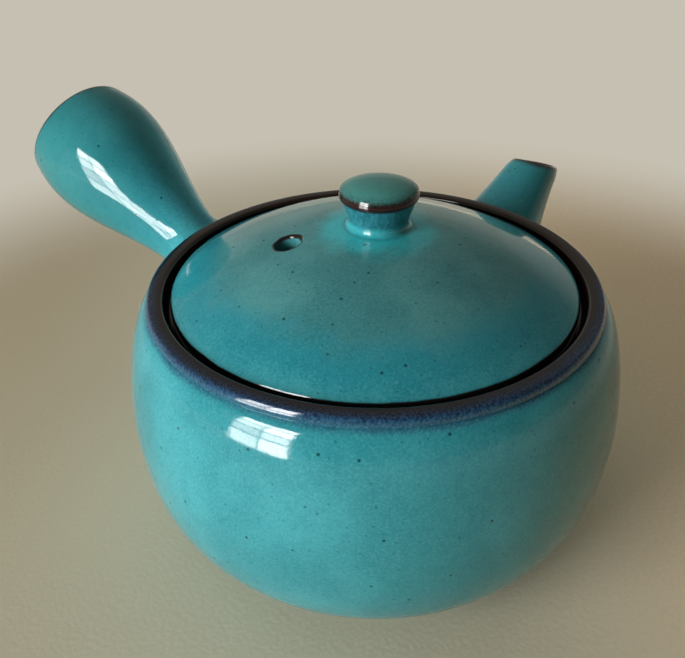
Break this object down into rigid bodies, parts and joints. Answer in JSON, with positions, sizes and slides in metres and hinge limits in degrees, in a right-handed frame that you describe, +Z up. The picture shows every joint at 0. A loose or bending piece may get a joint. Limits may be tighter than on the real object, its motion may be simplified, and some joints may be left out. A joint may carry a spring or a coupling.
{
  "type": "side-handled teapot",
  "caption": "Round side-handled teapot with a short slanted spout, a pierced clay strainer and a domed lift-off lid with a knob.",
  "frame": {"origin": "centre of the foot ring, on the surface the pot stands on", "axes": "+Z up, along the bowl's centre line; +X along the spout, seen from above; the handle is 95 degrees anticlockwise from the spout"},
  "size_m": [0.1433, 0.1649, 0.0927],
  "materials": {
    "pot_glaze": "glossy turquoise glaze, speckled, breaking to brown and indigo at the rim",
    "lid_glaze": "glossy turquoise glaze, greyer than the pot's, speckled, dark at the edges",
    "strainer_clay": "bare fired clay, matt"
  },
  "bodies": {
    "pot": {"bowl": "pot_glaze", "spout": "pot_glaze", "strainer": "strainer_clay", "handle": "pot_glaze"},
    "cover": {"lid": "lid_glaze", "knob": "lid_glaze"}
  },
  "joints": [
    {"name": "lid_lift", "type": "slide", "parent": "pot", "child": "cover", "axis": [0, 0, 1], "range_m": [0, 0.06]}
  ]
}
